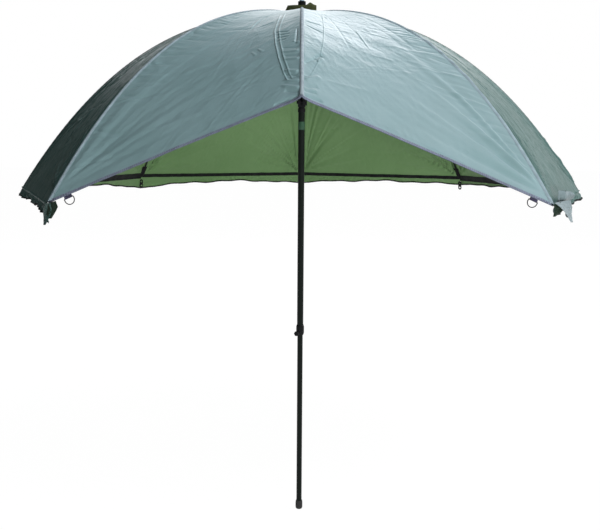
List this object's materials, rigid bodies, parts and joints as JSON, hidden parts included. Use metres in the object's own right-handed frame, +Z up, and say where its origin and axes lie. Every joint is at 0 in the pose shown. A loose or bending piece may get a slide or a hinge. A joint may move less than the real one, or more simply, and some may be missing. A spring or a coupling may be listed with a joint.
{
  "type": "fishing umbrella tent",
  "caption": "Dome-shaped fishing brolly on a telescopic front pole, with a folding rib frame, hanging back skirt and D-rings.",
  "frame": {"origin": "centre of the flat under the pole's foot", "axes": "+Z up along the pole, -Z out of the foot, +X to the right when facing the open front, +Y to the back"},
  "size_m": [2.518, 2.2382, 1.9425],
  "materials": {
    "pole_paint": "satin dark lacquer on aluminium tube",
    "rib_gloss": "black glass-fibre rod",
    "black_plastic": "moulded black nylon",
    "bright_metal": "bright plated steel",
    "strut_paint": "black coated steel rod",
    "front_cloth": "coated nylon, grey-blue at the front",
    "side_cloth": "coated nylon, green at the sides",
    "back_cloth": "coated nylon, green seen from inside",
    "olive_web": "olive webbing and patch",
    "black_web": "black webbing",
    "foot_rubber": "black rubber",
    "pale_shaft": "pale grey-blue plastic"
  },
  "bodies": {
    "lower_pole": {"lower_tube": "pole_paint", "foot_plug": "foot_rubber"},
    "upper_pole": {"upper_tube": "pole_paint", "clamp_collar": "black_plastic", "pole_head": "black_plastic", "tilt_bolt": "pole_paint"},
    "clamp_screw": {"clamp_screw": "black_plastic"},
    "tilt_knob": {"tilt_knob": "black_plastic"},
    "front_frame": {"rib_front": "rib_gloss", "rib_socket": "black_plastic", "rib_ball": "bright_metal"},
    "hub_group": {"hub": "black_plastic", "hub_cover": "black_plastic", "hub_post": "pole_paint", "top_cap": "black_plastic", "finial": "pale_shaft", "post_stop": "black_plastic", "crown_patch": "olive_web", "crown_strap": "olive_web"},
    "runner": {"runner": "black_plastic"},
    "runner_catch": {"runner_catch": "black_plastic"},
    "strut_front": {"strut_front": "strut_paint"},
    "rib_right_front": {"rib_right_front": "rib_gloss"},
    "strut_right_front": {"strut_right_front": "strut_paint"},
    "rib_right": {"rib_right": "rib_gloss"},
    "strut_right": {"strut_right": "strut_paint"},
    "rib_right_back": {"rib_right_back": "rib_gloss", "tip_pocket_right_back": "black_web", "peg_tab_right_back": "black_plastic"},
    "strut_right_back": {"strut_right_back": "strut_paint"},
    "rib_back": {"rib_back": "rib_gloss"},
    "strut_back": {"strut_back": "strut_paint"},
    "rib_left_back": {"rib_left_back": "rib_gloss", "tip_pocket_left_back": "black_web", "peg_tab_left_back": "black_plastic"},
    "strut_left_back": {"strut_left_back": "strut_paint"},
    "rib_left": {"rib_left": "rib_gloss"},
    "strut_left": {"strut_left": "strut_paint"},
    "rib_left_front": {"rib_left_front": "rib_gloss"},
    "strut_left_front": {"strut_left_front": "strut_paint"},
    "panel_front_l": {"panel_front_l": "front_cloth"},
    "panel_front_r": {"panel_front_r": "front_cloth"},
    "panel_right_front_l": {"panel_right_front_l": "front_cloth", "ring_web_right": "black_web"},
    "panel_right_front_r": {"panel_right_front_r": "side_cloth"},
    "panel_right_l": {"panel_right_l": "side_cloth"},
    "panel_right_r": {"panel_right_r": "side_cloth"},
    "panel_right_back_l": {"panel_right_back_l": "back_cloth"},
    "panel_right_back_r": {"panel_right_back_r": "back_cloth"},
    "panel_back_l": {"panel_back_l": "back_cloth"},
    "panel_back_r": {"panel_back_r": "back_cloth"},
    "panel_left_back_l": {"panel_left_back_l": "back_cloth"},
    "panel_left_back_r": {"panel_left_back_r": "back_cloth"},
    "panel_left_l": {"panel_left_l": "side_cloth"},
    "panel_left_r": {"panel_left_r": "side_cloth"},
    "panel_left_front_l": {"panel_left_front_l": "side_cloth"},
    "panel_left_front_r": {"panel_left_front_r": "front_cloth", "ring_web_left": "black_web"},
    "d_ring_left": {"d_ring_left": "bright_metal"},
    "d_ring_right": {"d_ring_right": "bright_metal"}
  },
  "joints": [
    {"name": "pole_extend", "type": "slide", "parent": "lower_pole", "child": "upper_pole", "axis": [0, 0, 1], "range_m": [-0.45, 0.15]},
    {"name": "clamp_turn", "type": "hinge", "parent": "upper_pole", "child": "clamp_screw", "pos_m": [0, 0, 0.6535], "axis": [-0.5299, -0.848, 0], "range_deg": [-180, 180]},
    {"name": "tilt_knob_turn", "type": "hinge", "parent": "upper_pole", "child": "tilt_knob", "pos_m": [0.0125, 0, 1.449], "axis": [1, 0, 0], "range_deg": [-180, 180]},
    {"name": "tilt", "type": "hinge", "parent": "upper_pole", "child": "front_frame", "pos_m": [0, 0, 1.449], "axis": [1, 0, 0], "range_deg": [-12, 30]},
    {"name": "fold", "type": "hinge", "parent": "front_frame", "child": "hub_group", "pos_m": [0, 0.907, 1.84619], "axis": [-1, 0, 0], "range_deg": [0, 46], "deforming": ["panel_front_l", "panel_front_r", "panel_right_front_l", "panel_right_front_r", "panel_right_l", "panel_right_r", "panel_right_back_l", "panel_right_back_r", "panel_back_l", "panel_back_r", "panel_left_back_l", "panel_left_back_r", "panel_left_l", "panel_left_r", "panel_left_front_l", "panel_left_front_r"]},
    {"name": "runner_slide", "type": "slide", "parent": "hub_group", "child": "runner", "axis": [0, 0, -1], "range_m": [0, 0.29376]},
    {"name": "catch_press", "type": "hinge", "parent": "runner", "child": "runner_catch", "pos_m": [0, 0.9305, 1.70419], "axis": [1, 0, 0], "range_deg": [0, 6], "stiffness_Nm_per_rad": 0.5, "springref_deg": -1.15},
    {"name": "strut_front_turn", "type": "hinge", "parent": "front_frame", "child": "strut_front", "pos_m": [0, 0.657, 1.83036], "axis": [1, 0, 0], "range_deg": [-76.05, 0]},
    {"name": "fold_right_front", "type": "hinge", "parent": "hub_group", "child": "rib_right_front", "pos_m": [0.03182, 0.92018, 1.84619], "axis": [0.7071, 0.7071, 0], "range_deg": [0, 46]},
    {"name": "strut_right_front_turn", "type": "hinge", "parent": "rib_right_front", "child": "strut_right_front", "pos_m": [0.2086, 0.7434, 1.83036], "axis": [0.7071, 0.7071, 0], "range_deg": [-76.05, 0]},
    {"name": "fold_right", "type": "hinge", "parent": "hub_group", "child": "rib_right", "pos_m": [0.045, 0.952, 1.84619], "axis": [0, 1, 0], "range_deg": [0, 46]},
    {"name": "strut_right_turn", "type": "hinge", "parent": "rib_right", "child": "strut_right", "pos_m": [0.295, 0.952, 1.83036], "axis": [0, 1, 0], "range_deg": [-76.05, 0]},
    {"name": "fold_right_back", "type": "hinge", "parent": "hub_group", "child": "rib_right_back", "pos_m": [0.03182, 0.98382, 1.84619], "axis": [-0.7071, 0.7071, 0], "range_deg": [0, 46]},
    {"name": "strut_right_back_turn", "type": "hinge", "parent": "rib_right_back", "child": "strut_right_back", "pos_m": [0.2086, 1.1606, 1.83036], "axis": [-0.7071, 0.7071, 0], "range_deg": [-76.05, 0]},
    {"name": "fold_back", "type": "hinge", "parent": "hub_group", "child": "rib_back", "pos_m": [0, 0.997, 1.84619], "axis": [-1, 0, 0], "range_deg": [0, 46]},
    {"name": "strut_back_turn", "type": "hinge", "parent": "rib_back", "child": "strut_back", "pos_m": [0, 1.247, 1.83036], "axis": [-1, 0, 0], "range_deg": [-76.05, 0]},
    {"name": "fold_left_back", "type": "hinge", "parent": "hub_group", "child": "rib_left_back", "pos_m": [-0.03182, 0.98382, 1.84619], "axis": [-0.7071, -0.7071, 0], "range_deg": [0, 46]},
    {"name": "strut_left_back_turn", "type": "hinge", "parent": "rib_left_back", "child": "strut_left_back", "pos_m": [-0.2086, 1.1606, 1.83036], "axis": [-0.7071, -0.7071, 0], "range_deg": [-76.05, 0]},
    {"name": "fold_left", "type": "hinge", "parent": "hub_group", "child": "rib_left", "pos_m": [-0.045, 0.952, 1.84619], "axis": [0, -1, 0], "range_deg": [0, 46]},
    {"name": "strut_left_turn", "type": "hinge", "parent": "rib_left", "child": "strut_left", "pos_m": [-0.295, 0.952, 1.83036], "axis": [0, -1, 0], "range_deg": [-76.05, 0]},
    {"name": "fold_left_front", "type": "hinge", "parent": "hub_group", "child": "rib_left_front", "pos_m": [-0.03182, 0.92018, 1.84619], "axis": [0.7071, -0.7071, 0], "range_deg": [0, 46]},
    {"name": "strut_left_front_turn", "type": "hinge", "parent": "rib_left_front", "child": "strut_left_front", "pos_m": [-0.2086, 0.7434, 1.83036], "axis": [0.7071, -0.7071, 0], "range_deg": [-76.05, 0]},
    {"name": "panel_front_l_fold", "type": "hinge", "parent": "front_frame", "child": "panel_front_l", "pos_m": [-0.00895, 0.907, 1.84619], "axis": [-0.9141, -0.3733, 0.1585], "range_deg": [0, 24.23]},
    {"name": "panel_front_r_fold", "type": "hinge", "parent": "front_frame", "child": "panel_front_r", "pos_m": [0.00895, 0.907, 1.84619], "axis": [-0.9141, 0.3733, -0.1585], "range_deg": [0, 24.23]},
    {"name": "panel_right_front_l_fold", "type": "hinge", "parent": "rib_right_front", "child": "panel_right_front_l", "pos_m": [0.02549, 0.91385, 1.84619], "axis": [-0.3824, -0.9103, 0.1585], "range_deg": [0, 24.23]},
    {"name": "panel_right_front_r_fold", "type": "hinge", "parent": "rib_right_front", "child": "panel_right_front_r", "pos_m": [0.03815, 0.92651, 1.84619], "axis": [-0.9137, -0.3726, -0.1624], "range_deg": [0, 23.97]},
    {"name": "panel_right_l_fold", "type": "hinge", "parent": "rib_right", "child": "panel_right_l", "pos_m": [0.045, 0.94305, 1.84619], "axis": [0.3826, -0.9095, 0.1624], "range_deg": [0, 23.97]},
    {"name": "panel_right_r_fold", "type": "hinge", "parent": "rib_right", "child": "panel_right_r", "pos_m": [0.045, 0.96095, 1.84619], "axis": [-0.3826, -0.9095, -0.1624], "range_deg": [0, 23.97]},
    {"name": "panel_right_back_l_fold", "type": "hinge", "parent": "rib_right_back", "child": "panel_right_back_l", "pos_m": [0.03815, 0.97749, 1.84619], "axis": [0.9137, -0.3726, 0.1624], "range_deg": [0, 23.97]},
    {"name": "panel_right_back_r_fold", "type": "hinge", "parent": "rib_right_back", "child": "panel_right_back_r", "pos_m": [0.02549, 0.99015, 1.84619], "axis": [0.3726, -0.9137, -0.1624], "range_deg": [0, 23.97]},
    {"name": "panel_back_l_fold", "type": "hinge", "parent": "rib_back", "child": "panel_back_l", "pos_m": [0.00895, 0.997, 1.84619], "axis": [0.9095, 0.3826, 0.1624], "range_deg": [0, 23.97]},
    {"name": "panel_back_r_fold", "type": "hinge", "parent": "rib_back", "child": "panel_back_r", "pos_m": [-0.00895, 0.997, 1.84619], "axis": [0.9095, -0.3826, -0.1624], "range_deg": [0, 23.97]},
    {"name": "panel_left_back_l_fold", "type": "hinge", "parent": "rib_left_back", "child": "panel_left_back_l", "pos_m": [-0.02549, 0.99015, 1.84619], "axis": [0.3726, 0.9137, 0.1624], "range_deg": [0, 23.97]},
    {"name": "panel_left_back_r_fold", "type": "hinge", "parent": "rib_left_back", "child": "panel_left_back_r", "pos_m": [-0.03815, 0.97749, 1.84619], "axis": [0.9137, 0.3726, -0.1624], "range_deg": [0, 23.97]},
    {"name": "panel_left_l_fold", "type": "hinge", "parent": "rib_left", "child": "panel_left_l", "pos_m": [-0.045, 0.96095, 1.84619], "axis": [-0.3826, 0.9095, 0.1624], "range_deg": [0, 23.97]},
    {"name": "panel_left_r_fold", "type": "hinge", "parent": "rib_left", "child": "panel_left_r", "pos_m": [-0.045, 0.94305, 1.84619], "axis": [0.3826, 0.9095, -0.1624], "range_deg": [0, 23.97]},
    {"name": "panel_left_front_l_fold", "type": "hinge", "parent": "rib_left_front", "child": "panel_left_front_l", "pos_m": [-0.03815, 0.92651, 1.84619], "axis": [-0.9137, 0.3726, 0.1624], "range_deg": [0, 23.97]},
    {"name": "panel_left_front_r_fold", "type": "hinge", "parent": "rib_left_front", "child": "panel_left_front_r", "pos_m": [-0.02549, 0.91385, 1.84619], "axis": [-0.3824, 0.9103, -0.1585], "range_deg": [0, 24.23]},
    {"name": "d_ring_left_swing", "type": "hinge", "parent": "panel_left_front_r", "child": "d_ring_left", "pos_m": [-0.81724, 0.07002, 1.11787], "axis": [0.9113, -0.0341, 0.4103], "range_deg": [-70, 70]},
    {"name": "d_ring_right_swing", "type": "hinge", "parent": "panel_right_front_l", "child": "d_ring_right", "pos_m": [0.81724, 0.07002, 1.11787], "axis": [0.9113, 0.0341, -0.4103], "range_deg": [-70, 70]}
  ],
  "couplings": [
    {"joint": "runner_slide", "follows": "fold", "m_per_rad": 0.36577},
    {"joint": "strut_front_turn", "follows": "fold", "ratio": -1.653},
    {"joint": "fold_right_front", "follows": "fold", "ratio": 1},
    {"joint": "strut_right_front_turn", "follows": "fold", "ratio": -1.653},
    {"joint": "fold_right", "follows": "fold", "ratio": 1},
    {"joint": "strut_right_turn", "follows": "fold", "ratio": -1.653},
    {"joint": "fold_right_back", "follows": "fold", "ratio": 1},
    {"joint": "strut_right_back_turn", "follows": "fold", "ratio": -1.653},
    {"joint": "fold_back", "follows": "fold", "ratio": 1},
    {"joint": "strut_back_turn", "follows": "fold", "ratio": -1.653},
    {"joint": "fold_left_back", "follows": "fold", "ratio": 1},
    {"joint": "strut_left_back_turn", "follows": "fold", "ratio": -1.653},
    {"joint": "fold_left", "follows": "fold", "ratio": 1},
    {"joint": "strut_left_turn", "follows": "fold", "ratio": -1.653},
    {"joint": "fold_left_front", "follows": "fold", "ratio": 1},
    {"joint": "strut_left_front_turn", "follows": "fold", "ratio": -1.653},
    {"joint": "panel_front_l_fold", "follows": "fold", "ratio": 0.52668},
    {"joint": "panel_front_r_fold", "follows": "fold", "ratio": 0.52668},
    {"joint": "panel_right_front_l_fold", "follows": "fold", "ratio": 0.52668},
    {"joint": "panel_right_front_r_fold", "follows": "fold", "ratio": 0.52107},
    {"joint": "panel_right_l_fold", "follows": "fold", "ratio": 0.52107},
    {"joint": "panel_right_r_fold", "follows": "fold", "ratio": 0.52107},
    {"joint": "panel_right_back_l_fold", "follows": "fold", "ratio": 0.52107},
    {"joint": "panel_right_back_r_fold", "follows": "fold", "ratio": 0.52107},
    {"joint": "panel_back_l_fold", "follows": "fold", "ratio": 0.52107},
    {"joint": "panel_back_r_fold", "follows": "fold", "ratio": 0.52107},
    {"joint": "panel_left_back_l_fold", "follows": "fold", "ratio": 0.52107},
    {"joint": "panel_left_back_r_fold", "follows": "fold", "ratio": 0.52107},
    {"joint": "panel_left_l_fold", "follows": "fold", "ratio": 0.52107},
    {"joint": "panel_left_r_fold", "follows": "fold", "ratio": 0.52107},
    {"joint": "panel_left_front_l_fold", "follows": "fold", "ratio": 0.52107},
    {"joint": "panel_left_front_r_fold", "follows": "fold", "ratio": 0.52668}
  ]
}
